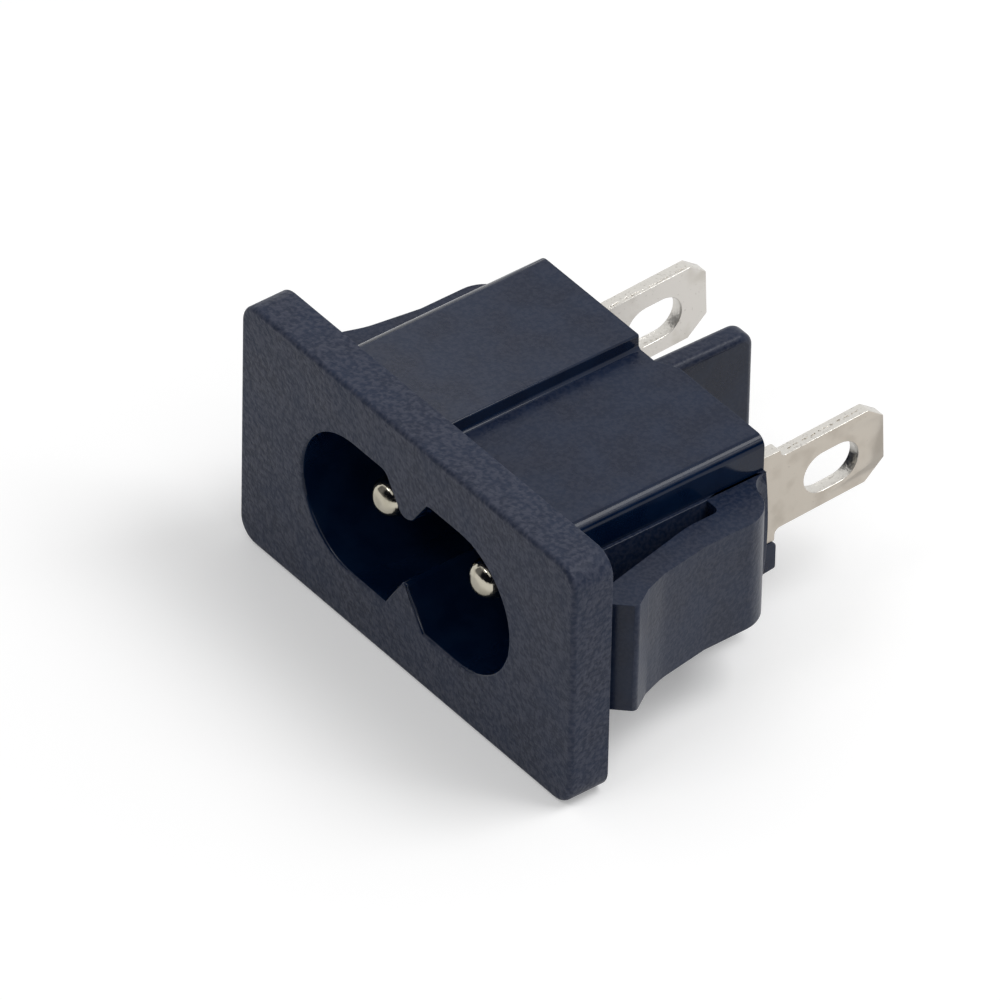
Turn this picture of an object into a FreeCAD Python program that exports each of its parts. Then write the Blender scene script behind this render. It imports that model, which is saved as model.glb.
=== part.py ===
import FreeCAD, Part

import math
import os

# Two-pole figure-eight appliance inlet that snaps into a panel from the front.
# Millimetres. X runs to the right seen from the front, Y to the back, Z up.
# The origin is the centre of the flange's back face, which seats on the panel.

os.makedirs("parts", exist_ok=True)

# Flange, which reaches a little past the latches of the arms
FLANGE_OVERHANG = 0.2
FLANGE_HEIGHT = 16.4
FLANGE_THICKNESS = 2.65
FLANGE_CORNER_R = 1.4
FLANGE_EDGE_R = 0.3

# Body behind the flange
BODY_SIDE_WALL = 0.32
BODY_HEIGHT = 13.64
BODY_CORNER_R = 0.65
STEP_X = -0.68
STEP_DROP = 0.92
STEP_CREST_R = 0.12
STEP_FOOT_R = 0.25
LIP_DEPTH = 0.7
LIP_START_X = 0.7
LIP_SLANT = 1.3
PAD_RISE = 0.2
PAD_CROWN = 0.3

# Figure-eight recess in the front
RECESS_WIDTH = 18.2
RECESS_HEIGHT = 9.0
RECESS_DEPTH = 11.5
RECESS_MOUTH_R = 0.2
TOP_KEY_WIDTH = 3.7
TOP_KEY_HEIGHT = 2.1
TOP_KEY_TIP_R = 0.8
TOP_KEY_ROOT_R = 0.6
BOTTOM_KEY_WIDTH = 3.4
BOTTOM_KEY_HEIGHT = 2.45
BOTTOM_KEY_TIP_R = 0.3

# Wall that carries the pins, and the pockets behind it
BULKHEAD_THICKNESS = 2.95
POCKET_DEPTH = 2.0
POCKET_SIDE_WALL = 0.87
POCKET_END_GAP = 1.1
POCKET_CORNER_R = 0.5
WEB_WIDTH = 1.8

# Barrier between the lugs
BARRIER_THICKNESS = 1.5
BARRIER_HEIGHT = 9.5
BARRIER_REACH = 6.95
BARRIER_DRAFT_DEG = 1.3
BARRIER_CORNER_R = 0.95
BARRIER_EDGE_R = 0.45

# Spring arms: the latch is placed from the panel seat, the root from the back of the body.
# Rises are measured outwards from the straight outer face of the root.
ARM_HEIGHT = 7.36
ARM_SLOT_WIDTH = 1.28
ARM_THICKNESS = 1.9
ARM_SPREAD = 1.55
ARM_TIP_GAP = 0.9
ARM_TIP_THICKNESS = 1.15
ARM_CREST_RISE = 1.85
ARM_CREST_Y = 1.98
ARM_CREST_R = 0.35
ARM_KNEE_RISE = 1.0
ARM_KNEE_Y = 3.3
ARM_KNEE_R = 1.0
ARM_BOW_RISE = 0.5
ARM_BOW_Y = 4.75
ARM_BOW_R = 5.0
ARM_CREASE_AHEAD = 2.3
ARM_BEND_AHEAD = 2.2
ARM_BEND_R = 6.0
ARM_SLOT_R = 0.4
ARM_ROOT_INSET = 0.7
ARM_ROOT_LENGTH = 2.7
ARM_ROOT_R = 2.1
ARM_BACK_MARGIN = 0.05
EDGE_SOFTENING = 0.15

# Contact pins
PIN_PITCH = 8.6
PIN_D = 2.36
PIN_SETBACK = 1.5
PIN_DOME = 0.9
PIN_NOSE_D = 0.7
COLLAR_D = 3.3
COLLAR_THICKNESS = 0.5
TAIL_D = 1.7
RIVET_D = 2.9
RIVET_HEIGHT = 0.6

# Solder lugs, bent from strip: every reach is measured from the back of the body
STRIP_THICKNESS = 0.8
STRIP_BEND_R = 0.4
LUG_WALL_GAP = 0.4
FOOT_HEIGHT = 6.2
FOOT_PAST_PIN = 2.1
FOOT_REACH = 2.65
FOOT_TOP_REACH = 2.9
FOOT_CORNER_R = 0.12
TAB_HEIGHT = 4.95
TAB_REACH = 10.13
TAB_LEAN_DEG = 2.8
TAB_ROOT_R = 0.4
TAB_TOP_ROOT_R = 0.35
TOP_CHAMFER_LENGTH = 1.05
TOP_CHAMFER_HEIGHT = 0.87
BOTTOM_CHAMFER_LENGTH = 1.35
BOTTOM_CHAMFER_HEIGHT = 1.1
HOLE_LENGTH = 3.8
HOLE_WIDTH = 2.7
HOLE_FROM_END = 3.65
HOLE_DROP = 0.15

# Rests moulded under the lugs
REST_WIDTH = 1.65
REST_PROUD = 0.1
REST_PAST_FOOT = 0.05
REST_END_HEIGHT = 1.85
REST_ROOT_HEIGHT = 2.4
REST_TOP_R = 0.35

# Overlap by which sub-shapes of one piece run into each other before they are joined
JOIN = 0.5

# Distance under which two points or two levels count as the same
SAME = 1e-6

# Values worked out from the sizes above
FRONT_Y = -FLANGE_THICKNESS
BODY_WIDTH = RECESS_WIDTH + 2 * BODY_SIDE_WALL
BODY_HALF = BODY_WIDTH / 2
BODY_TOP = BODY_HEIGHT / 2
LOW_TOP = BODY_TOP - STEP_DROP
FLOOR_Y = FRONT_Y + RECESS_DEPTH
BULKHEAD_BACK_Y = FLOOR_Y + BULKHEAD_THICKNESS
BODY_DEPTH = BULKHEAD_BACK_Y + POCKET_DEPTH
REAR_Y = BODY_DEPTH + LIP_DEPTH
POCKET_OUTER_X = BODY_HALF - POCKET_SIDE_WALL
ARM_HALF = ARM_HEIGHT / 2
ARM_INNER_X = BODY_HALF + ARM_SLOT_WIDTH
ARM_OUTER_X = ARM_INNER_X + ARM_THICKNESS
FLANGE_WIDTH = 2 * (ARM_OUTER_X + ARM_CREST_RISE + FLANGE_OVERHANG)
ARM_ROOT_Y = BODY_DEPTH - ARM_ROOT_INSET
ARM_SLOT_END_Y = ARM_ROOT_Y - ARM_ROOT_LENGTH
PIN_X = PIN_PITCH / 2
LUG_OUTER_X = POCKET_OUTER_X - LUG_WALL_GAP
LUG_INNER_X = LUG_OUTER_X - STRIP_THICKNESS
FOOT_HALF = FOOT_HEIGHT / 2
FOOT_INNER_X = PIN_X - FOOT_PAST_PIN
FOOT_BACK_Y = BULKHEAD_BACK_Y + STRIP_THICKNESS
FOOT_END_Y = BODY_DEPTH + FOOT_REACH
FOOT_TOP_END_Y = BODY_DEPTH + FOOT_TOP_REACH
TAB_END_Y = BODY_DEPTH + TAB_REACH


def vector_xz(x, z, y):
    """A point of an outline drawn in the front view."""
    return FreeCAD.Vector(x, y, z)


def vector_xy(x, y, z):
    """A point of an outline drawn in the plan view."""
    return FreeCAD.Vector(x, y, z)


def vector_yz(y, z, x):
    """A point of an outline drawn in the side view."""
    return FreeCAD.Vector(x, y, z)


def corner_arc(before, corner, after, radius):
    """Start, middle and end of the arc that rounds a corner of an outline."""
    to_before = (before - corner).normalize()
    to_after = (after - corner).normalize()
    half_angle = to_before.getAngle(to_after) / 2
    setback = radius / math.tan(half_angle)
    bisector = (to_before + to_after).normalize()
    middle = corner + bisector * (radius / math.sin(half_angle) - radius)
    return corner + to_before * setback, middle, corner + to_after * setback


def arc_about(centre, start, end):
    """Arc from start to end about a centre, the short way round."""
    radius = (start - centre).Length
    halfway = (start + end) / 2 - centre
    return Part.Arc(start, centre + halfway.normalize() * radius, end).toShape()


def polyline(points):
    """Straight edges from each point to the next."""
    return [Part.LineSegment(a, b).toShape() for a, b in zip(points, points[1:])]


def outline(corners, place, level):
    """A closed face from corners given as (u, v, radius), on the plane that place and level give."""
    points = [place(u, v, level) for u, v, radius in corners]
    count = len(corners)
    stretches = []
    for index in range(count):
        radius = corners[index][2]
        if radius > 0:
            stretches.append(corner_arc(points[index - 1], points[index], points[(index + 1) % count], radius))
        else:
            stretches.append((points[index],))
    edges = []
    for index in range(count):
        stretch = stretches[index]
        following = stretches[(index + 1) % count]
        if len(stretch) == 3:
            edges.append(Part.Arc(*stretch).toShape())
        if stretch[-1].distanceToPoint(following[0]) > SAME:
            edges.append(Part.LineSegment(stretch[-1], following[0]).toShape())
    return Part.Face(Part.Wire(edges))


def prism_y(corners, start, end):
    """A front-view outline carried along Y."""
    return outline(corners, vector_xz, start).extrude(FreeCAD.Vector(0, end - start, 0))


def prism_z(corners, bottom, top):
    """A plan outline carried up along Z."""
    return outline(corners, vector_xy, bottom).extrude(FreeCAD.Vector(0, 0, top - bottom))


def prism_x(corners, start, end):
    """A side-view outline carried along X."""
    return outline(corners, vector_yz, start).extrude(FreeCAD.Vector(end - start, 0, 0))


def rectangle(u_min, u_max, v_min, v_max, radius):
    """Corners of a rectangle that share one radius."""
    return [(u_max, v_max, radius), (u_max, v_min, radius), (u_min, v_min, radius), (u_min, v_max, radius)]


def mirrored(shape):
    """The same shape on the other side of the middle plane."""
    return shape.mirror(FreeCAD.Vector(0, 0, 0), FreeCAD.Vector(1, 0, 0))


def both_sides(shape):
    """The shape and its mirror image."""
    return [shape, mirrored(shape)]


def key_apex(width, height, tip_radius):
    """Height at which the flanks of a key would meet if its tip were not rounded."""
    half = width / 2
    centre = height - tip_radius
    lean = math.atan2(centre, half) + math.asin(tip_radius / math.hypot(half, centre))
    return half * math.tan(lean)


def flange():
    """Flat front plate with rounded corners and a softened front edge."""
    half_width = FLANGE_WIDTH / 2
    half_height = FLANGE_HEIGHT / 2
    corners = rectangle(-half_width, half_width, -half_height, half_height, FLANGE_CORNER_R)
    plate = prism_y(corners, 0, FRONT_Y)
    front = [edge for edge in plate.Edges if edge.BoundBox.YMax < FRONT_Y + SAME]
    return plate.makeFillet(FLANGE_EDGE_R, front)


def body_block():
    """Body section with the stepped top, carried to the back of its lip."""
    corners = [
        (-BODY_HALF, BODY_TOP, BODY_CORNER_R),
        (STEP_X, BODY_TOP, STEP_CREST_R),
        (STEP_X, LOW_TOP, STEP_FOOT_R),
        (BODY_HALF, LOW_TOP, BODY_CORNER_R),
        (BODY_HALF, -BODY_TOP, BODY_CORNER_R),
        (-BODY_HALF, -BODY_TOP, BODY_CORNER_R),
    ]
    return prism_y(corners, -JOIN, REAR_Y)


def side_pad():
    """Crowned strip on the body's side that backs the wide end of the recess."""
    inner = BODY_HALF - JOIN
    outer = BODY_HALF + PAD_RISE
    top = vector_xz(outer, ARM_HALF, -JOIN)
    crown = vector_xz(outer + PAD_CROWN, 0, -JOIN)
    bottom = vector_xz(outer, -ARM_HALF, -JOIN)
    back = polyline([bottom, vector_xz(inner, -ARM_HALF, -JOIN), vector_xz(inner, ARM_HALF, -JOIN), top])
    section = Part.Face(Part.Wire([Part.Arc(top, crown, bottom).toShape()] + back))
    return section.extrude(FreeCAD.Vector(0, REAR_Y + JOIN, 0))


def lip_relief():
    """What is taken off the back so that only the low half of the body keeps its lip."""
    beyond_x = BODY_HALF + PAD_RISE + PAD_CROWN + JOIN
    corners = [
        (-beyond_x, BODY_DEPTH, 0),
        (-beyond_x, REAR_Y + JOIN, 0),
        (LIP_START_X + LIP_SLANT, REAR_Y + JOIN, 0),
        (LIP_START_X + LIP_SLANT, REAR_Y, 0),
        (LIP_START_X, BODY_DEPTH, 0),
    ]
    return prism_z(corners, -BODY_HEIGHT, BODY_HEIGHT)


def recess():
    """Figure-eight hollow for the mating connector, with its two keys left standing."""
    half_width = RECESS_WIDTH / 2
    half_height = RECESS_HEIGHT / 2
    top_apex = half_height - key_apex(TOP_KEY_WIDTH, TOP_KEY_HEIGHT, TOP_KEY_TIP_R)
    bottom_apex = key_apex(BOTTOM_KEY_WIDTH, BOTTOM_KEY_HEIGHT, BOTTOM_KEY_TIP_R) - half_height
    corners = [
        (half_width, half_height, half_height),
        (half_width, -half_height, half_height),
        (BOTTOM_KEY_WIDTH / 2, -half_height, 0),
        (0, bottom_apex, BOTTOM_KEY_TIP_R),
        (-BOTTOM_KEY_WIDTH / 2, -half_height, 0),
        (-half_width, -half_height, half_height),
        (-half_width, half_height, half_height),
        (-TOP_KEY_WIDTH / 2, half_height, TOP_KEY_ROOT_R),
        (0, top_apex, TOP_KEY_TIP_R),
        (TOP_KEY_WIDTH / 2, half_height, TOP_KEY_ROOT_R),
    ]
    return prism_y(corners, FRONT_Y, FLOOR_Y)


def rear_pocket():
    """Pocket behind the bulkhead that takes one lug's foot."""
    half_height = FOOT_HALF + POCKET_END_GAP
    corners = rectangle(WEB_WIDTH / 2, POCKET_OUTER_X, -half_height, half_height, POCKET_CORNER_R)
    return prism_y(corners, BULKHEAD_BACK_Y, REAR_Y + JOIN)


def barrier():
    """Upright wall between the two lugs, a little lower towards its free end."""
    half_height = BARRIER_HEIGHT / 2
    end = BODY_DEPTH + BARRIER_REACH
    start = BULKHEAD_BACK_Y
    taper = math.tan(math.radians(BARRIER_DRAFT_DEG))
    start_half = half_height + (BODY_DEPTH - start) * taper
    end_half = half_height - BARRIER_REACH * taper
    corners = [
        (start, start_half, 0),
        (end, end_half, BARRIER_CORNER_R),
        (end, -end_half, BARRIER_CORNER_R),
        (start, -start_half, 0),
    ]
    wall = prism_x(corners, -BARRIER_THICKNESS / 2, BARRIER_THICKNESS / 2)
    rim = [edge for edge in wall.Edges if edge.BoundBox.XLength < SAME and edge.BoundBox.YMax > start + SAME]
    return wall.makeFillet(BARRIER_EDGE_R, rim)


def spring_arm(wall_end):
    """Arm of the right side with its latch at the front and its root at the back.

    A hollow round runs from the back of the root along the pad, nearly to the end of the wall.
    """
    tip_inner = ARM_INNER_X + ARM_SPREAD
    pad_x = BODY_HALF + PAD_RISE
    back_r = wall_end - ARM_BACK_MARGIN - ARM_ROOT_Y
    corners = [
        (tip_inner, ARM_TIP_GAP, EDGE_SOFTENING),
        (tip_inner + ARM_TIP_THICKNESS, ARM_TIP_GAP, EDGE_SOFTENING),
        (ARM_OUTER_X + ARM_CREST_RISE, ARM_CREST_Y, ARM_CREST_R),
        (ARM_OUTER_X + ARM_KNEE_RISE, ARM_KNEE_Y, ARM_KNEE_R),
        (ARM_OUTER_X + ARM_BOW_RISE, ARM_BOW_Y, ARM_BOW_R),
        (ARM_OUTER_X, ARM_SLOT_END_Y - ARM_CREASE_AHEAD, 0),
        (ARM_OUTER_X, ARM_ROOT_Y, ARM_ROOT_R),
        (pad_x, ARM_ROOT_Y, back_r),
        (pad_x, ARM_ROOT_Y + back_r, 0),
        (BODY_HALF - JOIN, ARM_ROOT_Y + back_r, 0),
        (BODY_HALF - JOIN, ARM_SLOT_END_Y, 0),
        (ARM_INNER_X, ARM_SLOT_END_Y, ARM_SLOT_R),
        (ARM_INNER_X, ARM_SLOT_END_Y - ARM_BEND_AHEAD, ARM_BEND_R),
    ]
    return prism_z(corners, -ARM_HALF, ARM_HALF)


def lug_rest():
    """Block under one lug's foot, deeper where it joins the body."""
    outer = LUG_OUTER_X + REST_PROUD
    end = FOOT_END_Y + REST_PAST_FOOT
    corners = [
        (BULKHEAD_BACK_Y, -FOOT_HALF, 0),
        (end, -FOOT_HALF, REST_TOP_R),
        (end, -FOOT_HALF - REST_END_HEIGHT, EDGE_SOFTENING),
        (BULKHEAD_BACK_Y, -FOOT_HALF - REST_ROOT_HEIGHT, 0),
    ]
    return prism_x(corners, outer - REST_WIDTH, outer)


def pin_bore():
    """Hole through the bulkhead for one pin."""
    return Part.makeCylinder(PIN_D / 2, BULKHEAD_THICKNESS, FreeCAD.Vector(PIN_X, FLOOR_Y, 0),
                             FreeCAD.Vector(0, 1, 0))


def soften_mouth(shape):
    """Small radius round the mouth of the recess."""
    half_width = RECESS_WIDTH / 2 + SAME
    half_height = RECESS_HEIGHT / 2 + SAME
    mouth = []
    for edge in shape.Edges:
        box = edge.BoundBox
        in_front = box.YMax < FRONT_Y + SAME
        inside = max(abs(box.XMin), abs(box.XMax)) < half_width and max(abs(box.ZMin), abs(box.ZMax)) < half_height
        if in_front and inside:
            mouth.append(edge)
    return shape.makeFillet(RECESS_MOUTH_R, mouth)


def housing():
    """The one-piece moulding: flange, body, spring arms, barrier and lug rests."""
    block = body_block().fuse(both_sides(side_pad())).cut(lip_relief())
    block = block.fuse([spring_arm(REAR_Y), mirrored(spring_arm(BODY_DEPTH))])
    block = block.cut(both_sides(rear_pocket()))
    block = block.fuse(both_sides(lug_rest()) + [barrier(), flange()])
    block = block.cut([recess()] + both_sides(pin_bore()))
    return soften_mouth(block.removeSplitter())


def domed_nose():
    """Profile of the pin's nose: a small flat, then an arc that runs smoothly into the pin's side."""
    tip = FRONT_Y + PIN_SETBACK
    shoulder = tip + PIN_DOME
    rim = (PIN_D - PIN_NOSE_D) / 2
    dome_r = (rim ** 2 + PIN_DOME ** 2) / (2 * rim)
    centre = vector_xy(PIN_D / 2 - dome_r, shoulder, 0)
    nose = vector_xy(PIN_NOSE_D / 2, tip, 0)
    flat = Part.LineSegment(vector_xy(0, tip, 0), nose).toShape()
    return [flat, arc_about(centre, nose, vector_xy(PIN_D / 2, shoulder, 0))]


def rivet_head():
    """Profile of the riveted end: a shallow cap that stands on the lug's foot."""
    rim = RIVET_D / 2
    cap_r = (rim ** 2 + RIVET_HEIGHT ** 2) / (2 * RIVET_HEIGHT)
    top = FOOT_BACK_Y + RIVET_HEIGHT
    return [arc_about(vector_xy(0, top - cap_r, 0), vector_xy(rim, FOOT_BACK_Y, 0), vector_xy(0, top, 0))]


def contact_pin():
    """Round pin of the right pole: domed nose, collar on the floor, tail riveted over the lug's foot."""
    nose = domed_nose()
    rivet = rivet_head()
    shoulder = FRONT_Y + PIN_SETBACK + PIN_DOME
    collar = FLOOR_Y - COLLAR_THICKNESS
    steps = [(PIN_D, shoulder), (PIN_D, collar), (COLLAR_D, collar), (COLLAR_D, FLOOR_Y), (PIN_D, FLOOR_Y),
             (PIN_D, BULKHEAD_BACK_Y), (TAIL_D, BULKHEAD_BACK_Y), (TAIL_D, FOOT_BACK_Y), (RIVET_D, FOOT_BACK_Y)]
    shank = polyline([vector_xy(diameter / 2, y, 0) for diameter, y in steps])
    tip = vector_xy(0, FRONT_Y + PIN_SETBACK, 0)
    axis = polyline([vector_xy(0, FOOT_BACK_Y + RIVET_HEIGHT, 0), tip])
    profile = Part.Face(Part.Wire(nose + shank + rivet + axis))
    turned = profile.revolve(FreeCAD.Vector(0, 0, 0), FreeCAD.Vector(0, 1, 0), 360)
    turned.translate(FreeCAD.Vector(PIN_X, 0, 0))
    return turned


def lug_strip():
    """Bent strip of the right lug seen in plan: the foot across the bulkhead, then the blade to the back."""
    outer_r = STRIP_BEND_R + STRIP_THICKNESS
    corners = [
        (FOOT_INNER_X, BULKHEAD_BACK_Y, 0),
        (LUG_OUTER_X, BULKHEAD_BACK_Y, outer_r),
        (LUG_OUTER_X, TAB_END_Y + JOIN, 0),
        (LUG_INNER_X, TAB_END_Y + JOIN, 0),
        (LUG_INNER_X, FOOT_BACK_Y, STRIP_BEND_R),
        (FOOT_INNER_X, FOOT_BACK_Y, 0),
    ]
    return prism_z(corners, -FOOT_HEIGHT, FOOT_HEIGHT)


def leaned(y, z):
    """A point of the tab turned up by its lean about the foot of the blade."""
    lean = math.radians(TAB_LEAN_DEG)
    reach = y - BODY_DEPTH
    return BODY_DEPTH + reach * math.cos(lean) - z * math.sin(lean), reach * math.sin(lean) + z * math.cos(lean)


def lug_side_view():
    """Outline of the lug in side view: tall foot, then the leaning tab with its cut corners."""
    half = TAB_HEIGHT / 2
    upper_root_z = leaned(FOOT_TOP_END_Y, half)[1]
    lower_root_z = leaned(FOOT_END_Y, -half)[1]
    cut_corners = [
        (TAB_END_Y - TOP_CHAMFER_LENGTH, half),
        (TAB_END_Y, half - TOP_CHAMFER_HEIGHT),
        (TAB_END_Y, BOTTOM_CHAMFER_HEIGHT - half),
        (TAB_END_Y - BOTTOM_CHAMFER_LENGTH, -half),
    ]
    corners = [
        (BULKHEAD_BACK_Y, FOOT_HALF, 0),
        (FOOT_TOP_END_Y, FOOT_HALF, FOOT_CORNER_R),
        (FOOT_TOP_END_Y, upper_root_z, TAB_TOP_ROOT_R),
    ]
    corners += [(*leaned(y, z), 0) for y, z in cut_corners]
    corners += [
        (FOOT_END_Y, lower_root_z, TAB_ROOT_R),
        (FOOT_END_Y, -FOOT_HALF, 0),
        (BULKHEAD_BACK_Y, -FOOT_HALF, 0),
    ]
    return corners


def lug_hole():
    """Oblong wire hole through the tab."""
    centre_y, centre_z = leaned(TAB_END_Y - HOLE_FROM_END, -HOLE_DROP)
    half_length = HOLE_LENGTH / 2
    radius = HOLE_WIDTH / 2
    corners = rectangle(-half_length, half_length, -radius, radius, radius)
    hole = prism_x(corners, LUG_INNER_X - JOIN, LUG_OUTER_X + JOIN)
    hole.rotate(FreeCAD.Vector(0, 0, 0), FreeCAD.Vector(1, 0, 0), TAB_LEAN_DEG)
    hole.translate(FreeCAD.Vector(0, centre_y, centre_z))
    return hole


def solder_lug():
    """Stamped and bent lug of the right pole."""
    silhouette = prism_x(lug_side_view(), 0, BODY_WIDTH)
    tail_hole = Part.makeCylinder(TAIL_D / 2, STRIP_THICKNESS, FreeCAD.Vector(PIN_X, BULKHEAD_BACK_Y, 0),
                                  FreeCAD.Vector(0, 1, 0))
    return lug_strip().common(silhouette).cut([lug_hole(), tail_hole]).removeSplitter()


def save(shape, name):
    """Check one piece and write it to its own file."""
    solids = shape.Solids
    if len(solids) != 1 or not solids[0].isValid():
        raise ValueError(f"{name}: {len(solids)} solids, valid {shape.isValid()}")
    solids[0].exportStep(f"parts/{name}.step")
    box = solids[0].BoundBox
    print(f"{name}: {solids[0].Volume:.2f} mm3, X {box.XMin:.2f} {box.XMax:.2f}, "
          f"Y {box.YMin:.2f} {box.YMax:.2f}, Z {box.ZMin:.2f} {box.ZMax:.2f}")


def main():
    """Build every piece of the inlet."""
    save(housing(), "housing")
    pin = contact_pin()
    lug = solder_lug()
    save(pin, "contact_pin_right")
    save(mirrored(pin), "contact_pin_left")
    save(lug, "solder_lug_right")
    save(mirrored(lug), "solder_lug_left")


main()
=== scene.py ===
import logging
import math
from collections.abc import Callable
from dataclasses import dataclass
from enum import Enum

import bmesh
import bpy
from mathutils import Matrix, Vector


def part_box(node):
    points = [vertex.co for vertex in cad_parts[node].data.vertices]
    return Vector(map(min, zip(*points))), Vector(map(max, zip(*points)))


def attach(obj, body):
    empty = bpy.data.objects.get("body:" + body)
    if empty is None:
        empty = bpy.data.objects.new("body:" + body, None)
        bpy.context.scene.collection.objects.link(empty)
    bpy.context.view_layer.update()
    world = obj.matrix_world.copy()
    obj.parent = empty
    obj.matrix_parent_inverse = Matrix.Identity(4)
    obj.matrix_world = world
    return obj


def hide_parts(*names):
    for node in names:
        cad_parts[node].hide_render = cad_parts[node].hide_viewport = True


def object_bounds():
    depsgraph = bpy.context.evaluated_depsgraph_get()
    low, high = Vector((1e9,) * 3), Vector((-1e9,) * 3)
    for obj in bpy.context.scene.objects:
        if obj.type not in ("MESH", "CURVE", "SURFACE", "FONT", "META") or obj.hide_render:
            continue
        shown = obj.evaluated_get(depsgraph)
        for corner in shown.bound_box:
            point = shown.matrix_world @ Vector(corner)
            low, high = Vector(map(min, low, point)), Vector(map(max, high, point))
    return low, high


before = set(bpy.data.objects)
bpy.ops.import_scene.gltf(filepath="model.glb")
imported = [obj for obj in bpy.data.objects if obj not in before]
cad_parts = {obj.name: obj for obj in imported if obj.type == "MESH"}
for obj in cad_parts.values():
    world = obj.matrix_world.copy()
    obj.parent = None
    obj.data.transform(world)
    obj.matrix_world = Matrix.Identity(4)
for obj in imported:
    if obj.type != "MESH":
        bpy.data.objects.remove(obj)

# Figure-eight appliance inlet: moulded housing, two turned pins and two stamped lugs.
# Metres, in the frame of the part: X right, Y into the appliance, Z up.

CAD_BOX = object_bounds()
MM = 0.001
LOG = logging.getLogger("inlet")

Number = bpy.types.NodeSocket | float
Colour = bpy.types.NodeSocket | tuple[float, float, float]


class Slot(Enum):
    """Names of the part's material slots."""

    HOUSING = "housing_plastic"
    PIN = "pin_metal"
    LUG = "lug_metal"


class Pole(Enum):
    """The two poles, seen from the front."""

    LEFT = "left"
    RIGHT = "right"


class Attribute(Enum):
    """Face attributes that tell a finish where it changes."""

    GRAIN = "grain"
    CUT_EDGE = "cut_edge"


class Texture(Enum):
    """Surfaces of the mould, by how much grain they leave on the plastic."""

    POLISHED = 0.0
    SATIN = 0.2
    FINE = 0.4
    MATTE = 0.55
    SPARK = 1.0


class NodeBench:
    """Places nodes in one tree and links them."""

    def __init__(self, tree: bpy.types.NodeTree) -> None:
        """Take an empty tree to work on."""
        self.tree = tree
        tree.nodes.clear()

    def place(self, kind: str, sources: dict | None = None, **settings: object) -> bpy.types.Node:
        """Place one node.

        Args:
            kind: Type name of the node.
            sources: Value or output socket for each input, by the input's name or number.
            settings: Properties of the node itself, set before its inputs.

        Returns:
            The placed node.
        """
        node = self.tree.nodes.new(kind)
        for name, value in settings.items():
            setattr(node, name, value)
        for key, source in (sources or {}).items():
            if isinstance(source, bpy.types.NodeSocket):
                self.tree.links.new(source, node.inputs[key])
            else:
                node.inputs[key].default_value = source
        return node

    def math(self, operation: str, first: Number, second: Number = 0.0) -> bpy.types.NodeSocket:
        """Combine two numbers.

        Args:
            operation: Name of the operation.
            first: Value or socket.
            second: Value or socket.

        Returns:
            Socket of the result.
        """
        return self.place("ShaderNodeMath", {0: first, 1: second}, operation=operation).outputs[0]

    def ramp(
        self, value: Number, low: float, high: float, start: float = 0.0, end: float = 1.0
    ) -> bpy.types.NodeSocket:
        """Map a number smoothly from one range to another.

        Args:
            value: Socket of the number.
            low: Value that gives start.
            high: Value that gives end.
            start: Result at low.
            end: Result at high.

        Returns:
            Socket of the mapped number.
        """
        sources = {0: value, 1: low, 2: high, 3: start, 4: end}
        return self.place("ShaderNodeMapRange", sources, interpolation_type="SMOOTHSTEP").outputs[0]

    def blend(self, factor: Number, first: Number, second: Number) -> bpy.types.NodeSocket:
        """Mix two numbers by a factor.

        Args:
            factor: Value or socket, 0 for the first number and 1 for the second.
            first: Value or socket.
            second: Value or socket.

        Returns:
            Socket of the mixed number.
        """
        return self.place("ShaderNodeMix", {0: factor, 2: first, 3: second}, data_type="FLOAT").outputs[0]

    def tint(self, factor: Number, first: Colour, second: Colour) -> bpy.types.NodeSocket:
        """Mix two colours by a factor.

        Args:
            factor: Value or socket, 0 for the first colour and 1 for the second.
            first: Colour or socket.
            second: Colour or socket.

        Returns:
            Socket of the mixed colour.
        """
        sources = {0: factor}
        for key, colour in ((6, first), (7, second)):
            sources[key] = colour if isinstance(colour, bpy.types.NodeSocket) else (*colour, 1.0)
        return self.place("ShaderNodeMix", sources, data_type="RGBA").outputs[2]

    def cells(self, vector: bpy.types.NodeSocket, size: bpy.types.NodeSocket) -> bpy.types.NodeSocket:
        """Scale a place so that one unit is one cell.

        Args:
            vector: Socket of the place.
            size: Socket of the cell's size.

        Returns:
            Socket of the scaled place.
        """
        scale = {0: vector, "Scale": self.math("DIVIDE", 1.0, size)}
        return self.place("ShaderNodeVectorMath", scale, operation="SCALE").outputs[0]

    def seen(self) -> bpy.types.NodeSocket:
        """Tell rays that show a surface from rays that only carry its light.

        Returns:
            Socket that is 1 for a surface seen directly, in a reflection or through glass.
        """
        paths = self.place("ShaderNodeLightPath").outputs
        shown = self.math("MAXIMUM", paths["Is Camera Ray"], paths["Is Glossy Ray"])
        return self.math("MAXIMUM", shown, paths["Is Transmission Ray"])

    def coat(self, shader: bpy.types.Node) -> None:
        """Give the material its surface."""
        self.place("ShaderNodeOutputMaterial", {"Surface": shader.outputs[0]})

    def dress(self, geometry: bpy.types.NodeSocket, finish: bpy.types.NodeSocket) -> None:
        """End a Geometry Nodes tree with plain geometry that has its material.

        Args:
            geometry: Socket of what the tree makes.
            finish: Socket of the material.
        """
        real = self.place("GeometryNodeRealizeInstances", {0: geometry})
        dressed = self.place("GeometryNodeSetMaterial", {"Geometry": real.outputs[0], "Material": finish})
        self.place("NodeGroupOutput", {0: dressed.outputs[0]})


def open_material(name: str) -> tuple[bpy.types.Material, NodeBench]:
    """Start a material.

    Args:
        name: Name of the material.

    Returns:
        The empty material and the bench for its nodes.
    """
    material = bpy.data.materials.new(name)
    material.use_nodes = True
    return material, NodeBench(material.node_tree)


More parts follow.
